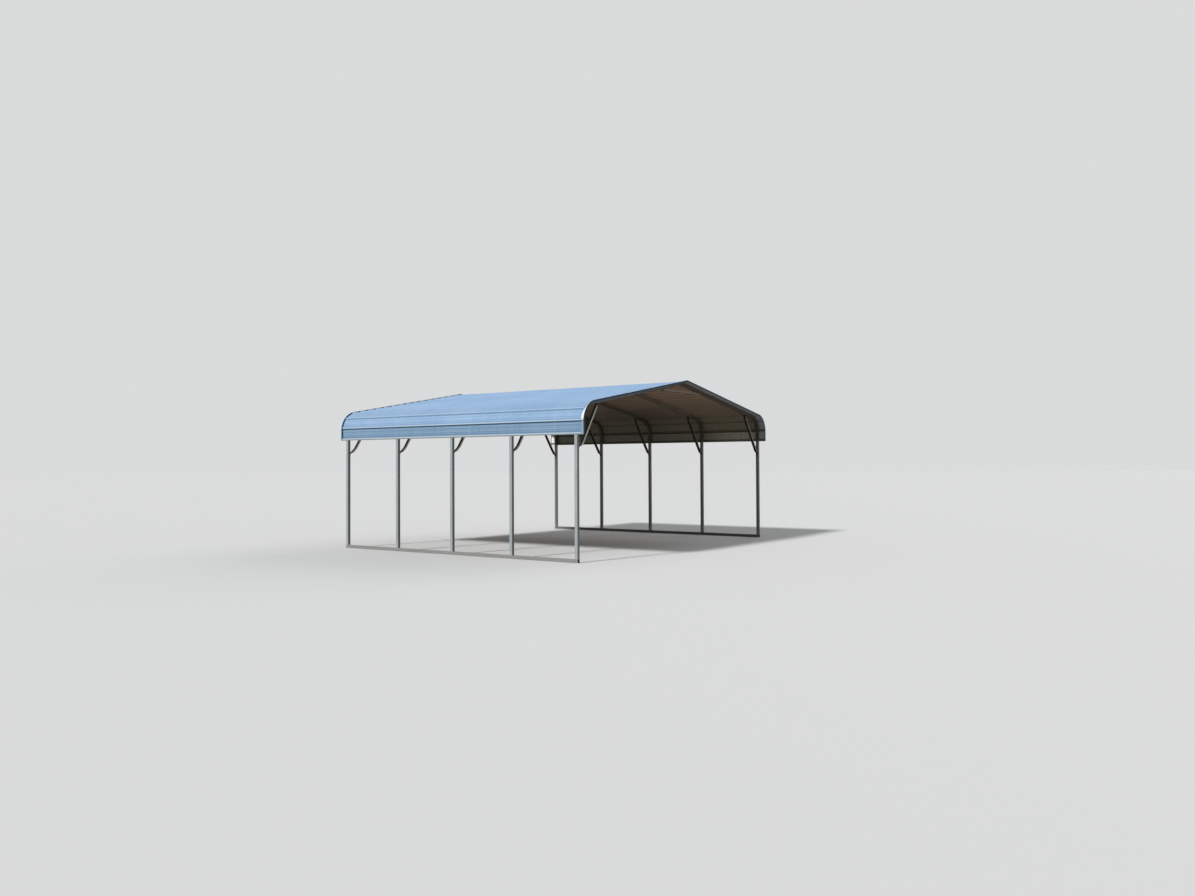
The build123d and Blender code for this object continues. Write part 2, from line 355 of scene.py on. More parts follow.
@dataclass(frozen=True)
class SheetPaint:
    """The factory paint of the roof sheets, over a dull backing coat on their undersides, with painted light
    and shade on both faces.

    The spans named in ribs count ribs from the ridge, and the others are in metres.
    """

    name: str = "blue_sheet_paint"
    colour: Colour = (0.232, 0.382, 0.59)
    faded: Colour = (0.295, 0.445, 0.655)
    # The upright's darker blues are painted shade
    upright: Colour = (0.169, 0.296, 0.453)
    upright_faded: Colour = (0.228, 0.365, 0.522)
    # A painted highlight on the ribs' crowns
    crown_highlight: Colour = (0.56, 0.68, 0.79)
    cut_edge: Colour = (0.42, 0.44, 0.46)
    # A painted highlight along the roof's lower edge
    hem_highlight: Colour = (0.66, 0.72, 0.77)
    # The underside's tones are painted light and shade: brown as light bounced from the ground near the
    # ridge, grey and pale where the sky and sun light the upright, the ends and the back hem, and dark
    # between
    backing_ridge_bounce: Colour = (0.37, 0.25, 0.19)
    backing: Colour = (0.255, 0.195, 0.16)
    backing_eave: Colour = (0.207, 0.202, 0.16)
    backing_upright_lit: Colour = (0.38, 0.415, 0.36)
    backing_end_lit: Colour = (0.36, 0.43, 0.54)
    backing_hem_lit: Colour = (0.86, 0.86, 0.84)
    backing_stain_and_shade: Colour = (0.075, 0.062, 0.052)

    lower_ribs: Span = (15.6, 15.9)
    lowest_ribs: Span = (16.6, 16.9)
    turning_ribs: Span = (15.1, 15.5)
    turned_ribs: Span = (15.98, 15.85)
    upright_ribs: Span = (17.06, 17.14)
    last_ribs: Span = (17.6, 17.7)
    lip_ribs: Span = (17.99, 18.005)
    backing_upright_ribs: Span = (17.16, 17.2)
    backing_hem_ribs: Span = (17.2, 17.24)
    shade_end_ribs: Span = (15.4, 14.6)
    upright_shade_ribs: Span = (17.1, 17.2)

    # Where, from each rib's middle, the painted highlight on its crown, the painted shade under and above it,
    # and the painted shade in its hollow lie
    crown_middle: float = 0.004
    crown_width: Span = (0.007, 0.012)
    catch_middle: float = -0.026
    catch_width: Span = (0.004, 0.014)
    flank_top: Span = (0.012, 0.017)
    flank_foot: Span = (0.040, 0.034)
    groove_width: Span = (0.024, 0.034)

    dusty_eave: Span = (3.4, 4.1)
    beside_trim: Span = (3.128, 3.138)
    ridge_backing: Span = (0.4, 2.4)
    eave_backing: Span = (2.95, 3.5)
    shade_start: Span = (1.9, 2.5)
    shade_back: Span = (-1.7, -0.9)
    upright_shade_back: Span = (-2.6, -1.4)
    near_eave: Span = (2.9, 3.2)
    near_side: Span = (-1.0, -2.0)
    shade_to_back: Span = (-2.6, 0.4)
    back_half: Span = (0.0, 1.0)
    back_end: Span = (3.10, 3.02)
    past_bows: Span = (3.028, 3.078)
    wave_depth: float = 0.004
    peel_depth: float = 0.00006

    def clean_paint(self, r: SheetRecipe) -> Reading:
        """Fades the paint in places, gives each sheet a slightly different lot, paints shade on the upright,
        and darkens a band where the sheet turns over the eave.

        Args:
            r: The finish.

        Returns:
            The clean paint's colour.
        """
        spacing = r.line.rib_spacing
        sheet = r.sum("FLOOR", (r.girth / spacing - r.line.first_lap) / r.line.ribs_per_sheet)
        batch = sheet * 2.0 + r.sum("SIGN", r.x) * 0.5 + 7.3
        lot = r.node("ShaderNodeTexWhiteNoise", {"noise_dimensions": "1D"}, {"W": batch})
        sun = r.rise(r.clouds * 0.6 + r.runs * 0.4, 0.35, 0.68)
        slope = r.mix(self.colour, self.faded, sun)
        # The upright is darker, as painted shade
        upright = r.mix(self.upright, self.upright_faded, sun)
        paint = r.mix(slope, upright, r.from_rib(*self.upright_ribs))
        paint = r.tint(paint, r.grey(lot * 0.07 + r.rolled * 0.06 + 0.92))
        # A darker band where the sheet turns over the eave
        turning = r.from_rib(*self.turning_ribs) * r.from_rib(*self.turned_ribs)
        return r.tint(paint, r.grey(1.0 - turning * 0.09))

    def paint(self, r: SheetRecipe) -> tuple[Reading, Reading, Reading]:
        """Paints the outer face.

        Args:
            r: The finish.

        Returns:
            The colour, how dusty it is, and how strong its dirt and painted shade are.
        """
        lower = r.from_rib(*self.lower_ribs)
        lowest = r.from_rib(*self.lowest_ribs)
        last = r.from_rib(*self.last_ribs)
        lip = r.from_rib(*self.lip_ribs)
        streaks = r.rise(r.runs * 0.55 + r.fine_runs * 0.45, 0.5, 0.78)
        dusty = streaks * (0.16 + r.rise(r.girth, *self.dusty_eave) * 0.12)
        paint = r.mix(self.clean_paint(r), DUST, dusty)

        # A painted highlight on each rib's crown, strongest on the lowest ribs
        crown_highlight = r.near(r.past, self.crown_middle, *self.crown_width)
        paint = r.mix(paint, self.crown_highlight, crown_highlight * (0.16 + lower * 0.14 + lowest * 0.35))
        # Painted shade under each rib and a dark line above it: a little dirt on every rib, and painted shade
        # strongest on the lowest ones
        flank = r.rise(r.past, *self.flank_top) * r.rise(r.past, *self.flank_foot)
        catch = r.near(r.past, self.catch_middle, *self.catch_width)
        rib_shade_below = flank * (0.10 + lower * 0.30 + lowest * 0.55)
        rib_shade_above = catch * (0.06 + lower * 0.14 + lowest * 0.18 + last * 0.26)
        # Painted shadow beside the trim, strongest at the back, with a little dirt at both ends
        trim_shadow_and_dirt = r.rise(abs(r.along), *self.beside_trim) * (0.05 + r.rise(r.along, *self.back_half) * 0.65)
        dirt_and_shade = r.most((rib_shade_below + rib_shade_above) * (1.0 - lip), trim_shadow_and_dirt)
        dirt_and_shade = dirt_and_shade * (r.rise(r.clouds, 0.25, 0.7) * 0.2 + 0.8)
        paint = r.mix(paint, SHADE_AND_GRIME, dirt_and_shade)
        paint = r.mix(paint, DUST, r.rise(r.specks, 0.68, 0.8) * 0.2)
        # The lower edge is pale, brightened as a painted highlight
        return r.mix(paint, self.hem_highlight, lip * 0.72), dusty, dirt_and_shade

    def underside_shade(self, r: SheetRecipe) -> Reading:
        """Paints shade on the underside, on the slope, on the upright and under the left eave.

        Args:
            r: The finish.

        Returns:
            How much shade is painted.
        """
        slope = r.rise(r.girth, *self.shade_start) * r.from_rib(*self.shade_end_ribs)
        slope = slope * r.rise(r.along, *self.shade_back) * 0.22
        upright = r.from_rib(*self.upright_shade_ribs) * r.rise(r.along, *self.upright_shade_back)
        upright = upright * r.rise(r.along, *self.back_end) * 0.32
        left_eave = r.rise(r.girth, *self.near_eave) * r.rise(r.x, *self.near_side) * 0.25
        return r.most(slope, r.most(upright, left_eave))

    def backing_coat(self, r: SheetRecipe) -> Reading:
        """Paints the underside with painted light and shade: brown bounced light at the ridge, grey on the
        upright, lit past the last bows, shaded in the rib hollows and darker towards the back.

        Args:
            r: The finish.

        Returns:
            Its colour.
        """
        under = r.mix(self.backing_ridge_bounce, self.backing, r.rise(r.girth, *self.ridge_backing))
        under = r.mix(under, self.backing_eave, r.rise(r.girth, *self.eave_backing))
        under = r.mix(under, self.backing_upright_lit, r.from_rib(*self.backing_upright_ribs))
        back = r.rise(r.along, *self.back_half)
        end = r.rise(abs(r.along), *self.past_bows)
        under = r.mix(under, self.backing_end_lit, end * (0.82 - back * 0.5))
        hem_highlight = r.from_rib(*self.backing_hem_ribs)
        under = r.mix(under, self.backing_hem_lit, end * back * hem_highlight)
        under = r.mix(under, self.backing_stain_and_shade, r.rise(r.runs * 0.5 + r.clouds * 0.5, 0.42, 0.7) * 0.3)
        # Painted shade in the ribs' hollows, seen from below, strongest on the lowest ribs
        groove_shade = r.near(r.past, 0.0, *self.groove_width)
        lowest = r.from_rib(*self.lowest_ribs)
        under = r.mix(under, self.backing_stain_and_shade, groove_shade * (0.26 + lowest * 0.46))
        # Painted shade that darkens the underside towards the back
        back_shade = r.rise(r.along, *self.shade_to_back) * r.rise(r.along, *self.back_end)
        streaky = r.fine_runs * 0.2 + r.rolled * 0.3 + 0.78
        return r.tint(under, r.grey(streaky * (1.22 - back_shade * 0.44) * (1.0 - self.underside_shade(r))))

    def make(self) -> bpy.types.Material:
        """Builds the material.

        Returns:
            The material.
        """
        r = SheetRecipe.named(self.name)
        outside = r.rise(r.facing, 0.05, 0.25)
        inside = r.rise(r.facing, -0.05, -0.25)
        paint, dusty, dirt_and_shade = self.paint(r)
        edge = r.tint(self.cut_edge, r.grey(r.specks * 0.5 + 0.7))
        base = r.mix(r.mix(edge, self.backing_coat(r), inside), paint, outside)
        matt = 0.30 + r.clouds * 0.10 + dusty * 0.5 + inside * 0.25 + dirt_and_shade * 0.15
        wave = r.noise(r.vector(r.girth * 3.0, r.along * 1.2, 0.0), 1.0, 1.0, 0.4)
        normal = r.bump(wave, self.wave_depth, Normal=r.bump(r.specks, self.peel_depth))
        return r.finish(Base_Color=base, Roughness=matt, Normal=normal)


@dataclass(frozen=True)
class TrimPaint:
    """The paint of the folded trim over the sheets' ends: its face navy as painted shade, with painted glints
    where the front one turns over the eave and along the folds.
    """

    name: str = "blue_trim_paint"
    # The face's navy is painted shade, and its lower edge gets a painted light
    colour: Colour = (0.006, 0.032, 0.09)
    faded: Colour = (0.022, 0.068, 0.14)
    lower_edge_lit: Colour = (0.18, 0.25, 0.36)
    leg: Colour = (0.20, 0.33, 0.49)
    leg_faded: Colour = (0.28, 0.41, 0.57)
    leg_upright: Colour = (0.225, 0.355, 0.49)
    # Painted shade on the back trim's leg
    leg_back_shaded: Colour = (0.07, 0.13, 0.21)
    # A painted white glint
    glint_white: Colour = (0.86, 0.89, 0.91)
    backing: Colour = (0.21, 0.20, 0.185)
    length: float = 3.2017

    back_half: Span = (0.0, 1.0)
    lower_part: Span = (-0.005, -0.009)
    upright_girth: Span = (3.86, 3.92)
    crease_girth: float = 3.909
    crease_width: Span = (0.004, 0.014)
    wedge_girth: float = 3.60
    wedge_spread: float = 0.25
    wedge_fade: Span = (-0.004, 0.004)
    wedge_end: Span = (3.90, 3.86)
    fold_glint: Span = (0.006, 0.003)
    back_fold_glint: Span = (0.026, 0.020)
    back_fold_girth: Span = (3.30, 3.50)
    wave_depth: float = 0.0012
    peel_depth: float = 0.00006
    line: RoofLine = RoofLine()

    def top_leg(self, r: Recipe, girth: Reading, along: Reading, clouds: Reading) -> Reading:
        """Paints the leg that lies on the ribs, with painted shade in its crease and painted glints.

        Args:
            r: The finish.
            girth: How far a point lies from the ridge, over the roof.
            along: Its place along the carport.
            clouds: Soft patches.

        Returns:
            The leg's colour.
        """
        back = r.rise(along, *self.back_half)
        from_fold = self.length - abs(along)
        leg = r.mix(self.leg, self.leg_faded, r.rise(clouds, 0.40, 0.70))
        leg = r.mix(leg, self.leg_upright, r.rise(girth, *self.upright_girth))
        # Painted shade on the back leg, and a line of painted shade in the crease at the seventeenth rib
        leg = r.mix(leg, self.leg_back_shaded, back * 0.7)
        leg = r.mix(leg, SHADE_AND_GRIME, r.near(girth, self.crease_girth, *self.crease_width) * 0.6)
        # Painted glints: a wedge where the front trim turns over the eave, and along the folds at both ends
        glint_wedge = r.rise((girth - self.wedge_girth) * self.wedge_spread - from_fold, *self.wedge_fade)
        glint_wedge = glint_wedge * r.rise(girth, *self.wedge_end) * (1.0 - back)
        fold_glint = r.rise(from_fold, *self.fold_glint) * 0.7
        back_fold_glint = r.rise(from_fold, *self.back_fold_glint) * r.rise(girth, *self.back_fold_girth) * back * 0.75
        return r.mix(leg, self.glint_white, r.most(glint_wedge * 0.95, r.most(fold_glint, back_fold_glint)))

    def make(self) -> bpy.types.Material:
        """Builds the material.

        Returns:
            The material.
        """
        r = Recipe.named(self.name)
        girth, height, facing = self.line.read(r)
        _, along, _ = r.split(r.place())
        _, face_y, _ = r.split(r.facing())
        outside = r.rise(facing + face_y * r.sum("SIGN", along), 0.1, 0.3)
        clouds = r.noise(r.place(), 2.2, 4.0, 0.6)
        streaks = r.noise(r.vector(girth * 14.0, along * 14.0, height * 2.5), 1.6, 4.0, 0.6)
        specks = r.noise(r.place(), 170.0, 2.0, 0.5)

        # The face: navy as painted shade, lighter at its lower edge as painted light
        face = r.mix(self.colour, self.faded, r.rise(clouds, 0.38, 0.72) * 0.5)
        face = r.mix(face, self.lower_edge_lit, r.rise(height, *self.lower_part) * 0.8)
        paint = r.mix(face, self.top_leg(r, girth, along, clouds), r.rise(facing, 0.2, 0.7))
        paint = r.mix(paint, DUST, r.rise(streaks, 0.48, 0.75) * 0.10)
        paint = r.mix(paint, DUST, r.rise(specks, 0.68, 0.8) * 0.12)
        base = r.mix(r.tint(self.backing, r.grey(clouds * 0.5 + 0.75)), paint, outside)
        matt = 0.30 + clouds * 0.12 + streaks * 0.08
        wave = r.noise(r.vector(girth * 2.5, along, height), 1.0, 1.0, 0.4)
        normal = r.bump(wave, self.wave_depth, Normal=r.bump(specks, self.peel_depth))
        return r.finish(Base_Color=base, Roughness=matt, Specular_IOR_Level=0.15, Normal=normal)


class Lay(Enum):
    """Which way a galvanised tube or brace runs, for the marks that rolling leaves along it."""

    UP = "up"
    ALONG = "along"
    OVER = "over"


@dataclass(frozen=True)
class Zinc:
    """Galvanised steel: zinc crystals, rolling marks, dull oxide patches and dust near the ground."""

    name: str
    lay: Lay
    colour: Colour = (0.375, 0.42, 0.455)
    dull: Colour = (0.29, 0.325, 0.35)
    oxide: Colour = (0.60, 0.625, 0.63)
    soil: Colour = (0.48, 0.43, 0.34)
    metal: float = 0.06
    gloss: float = 0.25
    crystals: float = 85.0
    marks_across: float = 60.0
    marks_along: float = 0.9
    turned_away: Span = (-0.3, -0.7)
    soiled_height: Span = (0.34, 0.02)
    splash_height: float = 0.22
    bump_depth: float = 0.00025
    line: RoofLine = RoofLine()

    def coat(self, r: Recipe) -> Reading:
        """Paints shade on the faces towards the middle and the front, over clean zinc with dull patches.

        Args:
            r: The finish.

        Returns:
            Its colour.
        """
        x, _, _ = r.split(r.place())
        face_x, face_y, _ = r.split(r.facing())
        # Painted shade on the faces towards the middle and the front
        inner = r.rise(face_x * r.sum("SIGN", x), *self.turned_away) * 0.5
        front = r.rise(face_y, *self.turned_away) * 0.25
        patches = r.rise(r.noise(r.place(), 3.5, 4.0, 0.6), 0.42, 0.66)
        colour = r.mix(self.colour, self.dull, patches * 0.3)
        return r.tint(colour, r.grey(1.0 - r.most(inner, front)))

    def stretched(self, r: Recipe) -> Reading:
        """Draws out the pattern of the marks of rolling along the tube.

        Args:
            r: The finish.

        Returns:
            The place in that pattern.
        """
        x, y, z = r.split(r.place())
        across, along = self.marks_across, self.marks_along
        if self.lay is Lay.UP:
            return r.vector(x * across, y * across, z * along)
        if self.lay is Lay.ALONG:
            return r.vector(x * across, y * along, z * across)
        girth, height, _ = self.line.read(r)
        return r.vector(girth * along, y * across, height * across)

    def make(self) -> bpy.types.Material:
        """Builds the material.

        Returns:
            The material.
        """
        r = Recipe.named(self.name)
        spot = r.place()
        _, _, z = r.split(spot)
        stretched = self.stretched(r)
        rolled = r.noise(stretched, 1.0, 4.0, 0.6)
        spangle = r.cells(spot, self.crystals) * 0.6 + r.cells(spot, self.crystals * 2.3) * 0.4
        colour = r.tint(self.coat(r), r.grey(spangle * 0.2 + rolled * 0.22 + 0.79))
        chalk = r.rise(r.noise(spot, 9.0, 5.0, 0.7), 0.56, 0.72)
        colour = r.mix(colour, self.oxide, chalk * 0.16)
        scratches = r.rise(r.noise(stretched, 2.6, 2.0, 0.5), 0.66, 0.74)
        colour = r.mix(colour, self.oxide, scratches * 0.22)
        splash = r.noise(spot, 24.0, 5.0, 0.7)
        soiled = r.rise(z + splash * self.splash_height, *self.soiled_height)
        soiled = soiled * (r.rise(splash, 0.32, 0.62) * 0.55 + 0.3)
        colour = r.mix(colour, self.soil, soiled)
        metal = self.metal * (1.0 - chalk * 0.45) * (1.0 - soiled * 0.9)
        matt = 0.38 + spangle * 0.10 + chalk * 0.12 + soiled * 0.3
        normal = r.bump(rolled * 0.7 + spangle * 0.3, self.bump_depth)
        return r.finish(
            Base_Color=colour, Metallic=metal, Roughness=matt, Specular_IOR_Level=self.gloss, Normal=normal
        )


@dataclass(frozen=True)
class BowZinc(Zinc):
    """The bows' zinc: as the posts' on the legs below the eaves, and dark and brown under the roof as painted
    shade.
    """

    # Painted shade for the arch, darkest facing down, and painted light for the first bow's left arch
    arch_shade: Colour = (0.175, 0.165, 0.145)
    underside: Colour = (0.072, 0.063, 0.050)
    front_left_lit: Colour = (0.18, 0.245, 0.30)
    metal: float = 0.03
    gloss: float = 0.2
    under_roof: Span = (2.25, 2.33)
    bend: Span = (2.9, 3.2)
    facing_down: Span = (-0.4, -0.8)
    facing_out: Span = (-0.8, -0.4)
    left_part: Span = (-0.8, -2.0)
    first_bow: Span = (-2.8, -2.95)
    behind_first_bow: Span = (-2.8, -2.6)
    before_third_bow: Span = (-0.6, -0.9)

    def coat(self, r: Recipe) -> Reading:
        """Bares the legs, and paints shade on the arch under the roof, most on the first bow and least on the
        second, with painted light on the first bow's left arch.

        Args:
            r: The finish.

        Returns:
            The zinc's colour.
        """
        x, y, z = r.split(r.place())
        girth, _, facing = self.line.read(r)
        first = r.rise(y, *self.first_bow)
        second = r.rise(y, *self.behind_first_bow) * r.rise(y, *self.before_third_bow)
        bent = r.rise(girth, *self.bend) * (1.0 - first)
        # Painted light and shade that differ from bow to bow and darken round the bend
        light = (1.0 - first * 0.25 + second * 0.35) * (1.0 - bent * 0.35)
        arch = r.tint(self.arch_shade, r.grey(light))
        arch = r.mix(arch, self.underside, r.rise(facing, *self.facing_down))
        near_left = r.rise(x, *self.left_part) * first * r.rise(facing, *self.facing_out)
        arch = r.mix(arch, self.front_left_lit, near_left)
        return r.mix(super().coat(r), arch, r.rise(z, *self.under_roof))


@dataclass(frozen=True)
class BraceZinc(Zinc):
    """The zinc of the pressed channels, with a painted highlight on the left flanges' outer faces and painted
    shade between the flanges and on the right ones.
    """

    colour: Colour = (0.50, 0.50, 0.465)
    dull: Colour = (0.43, 0.43, 0.40)
    # A painted highlight for the left flanges; painted shade for the web's back, the inside of the channel
    # and the right flanges
    flange_highlight: Colour = (0.86, 0.85, 0.78)
    back: Colour = (0.125, 0.13, 0.134)
    inner: Colour = (0.04, 0.04, 0.036)
    far: Colour = (0.15, 0.15, 0.14)
    metal: float = 0.03
    gloss: float = 0.1
    crystals: float = 120.0
    bow_spacing: float = 1.508125
    flange: Span = (0.0225, 0.0275)
    far_side: Span = (1.5, 2.5)
    behind_front: Span = (-2.6, -2.2)
    near_side: Span = (-1.5, -2.5)
    facing_up: Span = (-0.35, 0.05)

    def coat(self, r: Recipe) -> Reading:
        """Paints a highlight on the flanges on the left, shade on them on the right past the first bow, and
        shade on the web.

        Args:
            r: The finish.

        Returns:
            The zinc's colour.
        """
        x, y, _ = r.split(r.place())
        _, face_y, face_z = r.split(r.facing())
        bays = y / self.bow_spacing
        off = (bays - r.sum("ROUND", bays)) * self.bow_spacing
        outer_flange = r.rise(face_y * r.sum("SIGN", off), 0.4, 0.8) * r.rise(abs(off), *self.flange)
        # Painted shade on the right flanges past the first bow
        far = r.rise(x, *self.far_side) * r.rise(y, *self.behind_front) * 0.8
        flange = r.mix(super().coat(r), self.far, far)
        flange = r.mix(flange, self.flange_highlight, r.rise(x, *self.near_side))
        # Painted shade on the web, darkest where it faces down
        web = r.mix(self.inner, self.back, r.rise(face_z, *self.facing_up))
        return r.mix(web, flange, outer_flange)


@dataclass(frozen=True)
class ScrewPaint:
    """The painted or galvanised heads of the screws, with worn spots."""

    name: str
    head: Colour
    worn: Colour
    metal: float = 0.0
    chip_depth: float = 0.0001

    def make(self) -> bpy.types.Material:
        """Builds the material.

        Returns:
            The material.
        """
        r = Recipe.named(self.name)
        chips = r.noise(r.place(), 420.0, 3.0, 0.6)
        tone = r.noise(r.place(), 9.0, 2.0, 0.5)
        colour = r.mix(self.head, self.worn, r.rise(chips, 0.5, 0.66) * 0.7)
        colour = r.tint(colour, r.grey(tone * 0.5 + 0.75))
        normal = r.bump(chips, self.chip_depth)
        return r.finish(Base_Color=colour, Metallic=self.metal, Roughness=0.34 + chips * 0.2, Normal=normal)


@dataclass(frozen=True)
class WeldMetal:
    """A weld bead under cold zinc paint, scorched in spots."""

    name: str = "weld_bead"
    colour: Colour = (0.40, 0.415, 0.42)
    scorched: Colour = (0.20, 0.17, 0.14)
    ripples: float = 1500.0
    ripple_depth: float = 0.0007

    def make(self) -> bpy.types.Material:
        """Builds the material.

        Returns:
            The material.
        """
        r = Recipe.named(self.name)
        _, y, z = r.split(r.place())
        ripples = r.sum("SINE", (y + z) * self.ripples) * 0.5 + 0.5
        spots = r.noise(r.place(), 260.0, 3.0, 0.6)
        colour = r.mix(self.colour, self.scorched, r.rise(spots, 0.45, 0.65) * 0.7)
        normal = r.bump(ripples, self.ripple_depth)
        return r.finish(Base_Color=colour, Metallic=0.6, Roughness=0.42 + spots * 0.2, Normal=normal)


def deselect() -> None:
    """Leaves nothing selected."""
    for item in bpy.context.selected_objects:
        item.select_set(False)


def mode(name: str) -> None:
    """Switches to object or edit mode."""
    bpy.ops.object.mode_set(mode=name)


def pick_top(piece: bpy.types.Object) -> None:
    """Goes from object mode to edit mode with the level top faces selected.

    Args:
        piece: The active piece.
    """
    mode("EDIT")
    bpy.ops.mesh.select_mode(type="FACE")
    bpy.ops.mesh.select_all(action="DESELECT")
    mode("OBJECT")
    for face in piece.data.polygons:
        face.select = face.normal.z > 0.9
    mode("EDIT")


def joined(parts: Sequence[bpy.types.Object], name: str) -> bpy.types.Object:
    """Joins pieces to one.

    Args:
        parts: The pieces.
        name: The name of the result.

    Returns:
        The piece, with its place in its mesh.
    """
    deselect()
    for part in parts:
        part.select_set(True)
    bpy.context.view_layer.objects.active = parts[0]
    bpy.ops.object.transform_apply(location=True, rotation=True, scale=True)
    bpy.ops.object.join()
    piece = bpy.context.view_layer.objects.active
    piece.name = name
    piece.data.name = name
    deselect()
    return piece


def spread(first: bpy.types.Object, places: Sequence[Matrix], name: str) -> bpy.types.Object:
    """Puts a copy of a piece at every place, and joins the copies to one piece.

    Args:
        first: The piece, which is removed.
        places: How each copy is moved and turned.
        name: The name of the result.

    Returns:
        The joined piece.
    """
    copies = []
    for number, place in enumerate(places):
        copy = bpy.data.objects.new(f"{name}_{number}", first.data.copy())
        bpy.context.collection.objects.link(copy)
        copy.data.transform(place)
        copies.append(copy)
    bpy.data.objects.remove(first)
    return joined(copies, name)


def cylinder(sides: int, radius: float, low: float, high: float) -> bpy.types.Object:
    """Adds a cylinder round the Z axis.

    Args:
        sides: How many sides it has.
        radius: How far its corners lie from the axis.
        low: The height of its lower end.
        high: The height of its upper end.

    Returns:
        The cylinder.
    """
    deselect()
    bpy.ops.mesh.primitive_cylinder_add(
        vertices=sides, radius=radius, depth=high - low, location=(0, 0, (low + high) / 2)
    )
    return bpy.context.active_object


@dataclass(frozen=True)
class HexScrew:
    """A self-drilling screw with a hex washer head, standing on the XY plane with its washer down."""

    washer_radius: float = 0.0078
    washer_height: float = 0.0022
    washer_sides: int = 12
    flange_radius: float = 0.0064
    flange_height: float = 0.0009
    flange_taper: float = 0.8
    head_across: float = 0.0079
    head_height: float = 0.0046
    head_bevel: float = 0.0005
    rim: float = 0.001
    dish: float = 0.0006
    sunk: float = 0.0004
    turn: float = 0.7

    def make(self, name: str) -> bpy.types.Object:
        """Builds one screw at the origin.

        Args:
            name: Its name.

        Returns:
            The screw.
        """
        washer = cylinder(self.washer_sides, self.washer_radius, -self.sunk, self.washer_height)
        pick_top(washer)
        bpy.ops.mesh.inset(thickness=self.washer_radius - self.flange_radius)
        bpy.ops.mesh.extrude_region_move(TRANSFORM_OT_translate={"value": (0, 0, self.flange_height)})
        bpy.ops.transform.resize(value=(self.flange_taper, self.flange_taper, 1.0))
        bpy.ops.mesh.select_all(action="DESELECT")
        mode("OBJECT")
        corner = self.head_across / 2 / cos(radians(30))
        head = cylinder(6, corner, self.washer_height, self.washer_height + self.head_height)
        pick_top(head)
        bpy.ops.mesh.bevel(offset=self.head_bevel, segments=1)
        mode("OBJECT")
        pick_top(head)
        bpy.ops.mesh.inset(thickness=self.rim)
        bpy.ops.transform.translate(value=(0, 0, -self.dish))
        mode("OBJECT")
        return joined([washer, head], name)

    def set_out(
        self, name: str, places: Sequence[tuple[Vector, Vector]], finish: bpy.types.Material, slot: str
    ) -> None:
        """Puts a screw at every place, each turned on from the last, and joins them to one piece.

        Args:
            name: The piece's name.
            places: Each screw's place, and the way its head points.
            finish: Its material.
            slot: Not used.
        """
        stands = []
        for number, (place, way) in enumerate(places):
            spin = Matrix.Rotation(number * self.turn, 4, "Z")
            stands.append(Matrix.Translation(place) @ way.to_track_quat("Z", "Y").to_matrix().to_4x4() @ spin)
        piece = spread(self.make(name + "_first"), stands, name)
        repaint(piece, finish)
        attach(piece, "root")
        log.info("%s: %d screws, %d faces", name, len(places), len(piece.data.polygons))


@dataclass(frozen=True)
class Layout:
    """The frame's measures, and where its bows stand."""

    length: float = 6.096
    tube: float = 0.0635
    bays: int = 4
    roof_length: float = 6.4008
    post_top: float = 2.1971

    @property
    def bows(self) -> list[float]:
        """The Y of each bow."""
        spacing = (self.length - self.tube) / self.bays
        return [(number - self.bays / 2) * spacing for number in range(self.bays + 1)]


@dataclass
class Roof:
    """The ribbed sheets, their trim and the screws that hold both."""

    line: RoofLine = RoofLine()
    layout: Layout = Layout()
    screw: HexScrew = HexScrew()
    sheet_heads: Colour = (0.15, 0.29, 0.48)
    trim_heads: Colour = (0.12, 0.235, 0.41)
    worn_heads: Colour = (0.40, 0.42, 0.43)
    beside_rib: float = 0.045
    sheet: float = 0.001
    trim_lift: float = 0.0215
    trim_thickness: float = 0.001
    trim_screw_inset: float = 0.030
    ribs_per_trim_screw: int = 2

    def dress(self) -> None:
        """Gives the sheets and trim their paint, and sets the screws."""
        paint = SheetPaint().make()
        trim = TrimPaint().make()
        for name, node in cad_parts.items():
            if "sheet" in name:
                repaint(node, paint)
            elif name.startswith("gable_trim"):
                repaint(node, trim)
        head = ScrewPaint("blue_screw_heads", self.sheet_heads, self.worn_heads).make()
        trim_head = ScrewPaint("trim_screw_heads", self.trim_heads, self.worn_heads).make()
        for side, name in ((-1, "left"), (1, "right")):
            self.screw.set_out(f"roof_screws_{name}", list(self.sheet_screws(side)), head, "blue_roofing")
        for end, name in ((-1, "front"), (1, "back")):
            self.screw.set_out(f"trim_screws_{name}", list(self.trim_screws(end)), trim_head, "blue_trim")

    def sheet_screws(self, side: int) -> Iterator[tuple[Vector, Vector]]:
        """The screws of one side: below every rib over each bow.

        Args:
            side: -1 on the left and 1 on the right.

        Yields:
            Each screw's place and way out.
        """
        for along in self.layout.bows:
            for number in range(1, self.line.last_rib):
                girth = number * self.line.rib_spacing + self.beside_rib
                yield self.line.spot(side, along, girth, self.sheet)

    def trim_screws(self, end: int) -> Iterator[tuple[Vector, Vector]]:
        """The screws of one end's trim: into every second rib.

        Args:
            end: -1 at the front and 1 at the back.

        Yields:
            Each screw's place and way out.
        """
        along = end * (self.layout.roof_length / 2 - self.trim_screw_inset)
        top = self.trim_lift + self.trim_thickness
        for side in (-1, 1):
            for number in range(self.ribs_per_trim_screw, self.line.last_rib, self.ribs_per_trim_screw):
                yield self.line.spot(side, along, number * self.line.rib_spacing, top)


